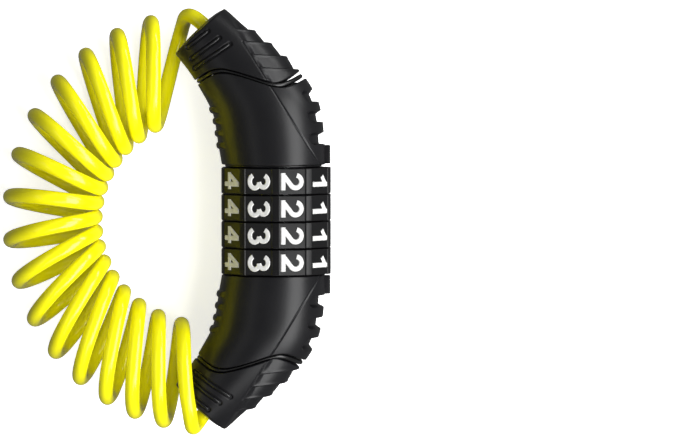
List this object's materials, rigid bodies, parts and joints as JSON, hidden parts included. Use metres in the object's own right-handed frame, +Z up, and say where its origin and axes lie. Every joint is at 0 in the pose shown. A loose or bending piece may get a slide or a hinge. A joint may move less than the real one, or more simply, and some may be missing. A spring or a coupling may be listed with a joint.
{
  "type": "cable luggage lock",
  "caption": "Four-dial combination lock with a bent two-part body and a coiled cable joining its ends, for luggage zips and straps.",
  "frame": {"origin": "on the surface the lock lies on, under the middle of the lock body's box (measured without the cable)", "axes": "+Y along the dial spindle towards the half that pulls out, +X towards the spine with the index bars, +Z up from the surface"},
  "size_m": [0.0823, 0.1054, 0.0282],
  "materials": {
    "housing_abs": "satin moulded ABS",
    "cap_abs": "satin moulded ABS",
    "bead_abs": "polished moulded ABS",
    "dial_abs": "semi-gloss with white filled numbers",
    "cast_zinc": "die-cast zinc alloy, as cast",
    "zinc_plated_steel": "turned, zinc plated",
    "spring_steel": "hardened, oiled",
    "ferrule_aluminium": "crimped",
    "cable_pvc": "glossy yellow PVC jacket over steel rope"
  },
  "bodies": {
    "dial_half": {"lower_housing": "housing_abs", "lower_seam_bead": "bead_abs", "lower_end_cap": "cap_abs", "lower_ferrule": "ferrule_aluminium", "barrel": "zinc_plated_steel", "barrel_clip": "spring_steel", "detent_spring": "spring_steel", "barrel_cross_pin": "spring_steel", "cable_lead_lower": "cable_pvc", "cable_coil": "cable_pvc"},
    "plug_half": {"upper_housing": "housing_abs", "upper_seam_bead": "bead_abs", "upper_end_cap": "cap_abs", "upper_ferrule": "ferrule_aluminium", "locking_pin": "zinc_plated_steel", "locking_cross_pin": "spring_steel", "cable_lead_upper": "cable_pvc"},
    "dial_1_body": {"dial_1": "dial_abs", "clutch_ring_1": "cast_zinc"},
    "dial_2_body": {"dial_2": "dial_abs", "clutch_ring_2": "cast_zinc"},
    "dial_3_body": {"dial_3": "dial_abs", "clutch_ring_3": "cast_zinc"},
    "dial_4_body": {"dial_4": "dial_abs", "clutch_ring_4": "cast_zinc"}
  },
  "joints": [
    {"name": "plug_pull", "type": "slide", "parent": "dial_half", "child": "plug_half", "axis": [0, 1, 0], "range_m": [0, 0.034], "deforming": ["cable_coil", "cable_lead_upper"]},
    {"name": "dial_1_turn", "type": "hinge", "parent": "dial_half", "child": "dial_1_body", "pos_m": [0.00585, 0.01005, 0.0141], "axis": [0, 1, 0], "continuous": true},
    {"name": "dial_2_turn", "type": "hinge", "parent": "dial_half", "child": "dial_2_body", "pos_m": [0.00585, 0.00335, 0.0141], "axis": [0, 1, 0], "continuous": true},
    {"name": "dial_3_turn", "type": "hinge", "parent": "dial_half", "child": "dial_3_body", "pos_m": [0.00585, -0.00335, 0.0141], "axis": [0, 1, 0], "continuous": true},
    {"name": "dial_4_turn", "type": "hinge", "parent": "dial_half", "child": "dial_4_body", "pos_m": [0.00585, -0.01005, 0.0141], "axis": [0, 1, 0], "continuous": true}
  ]
}
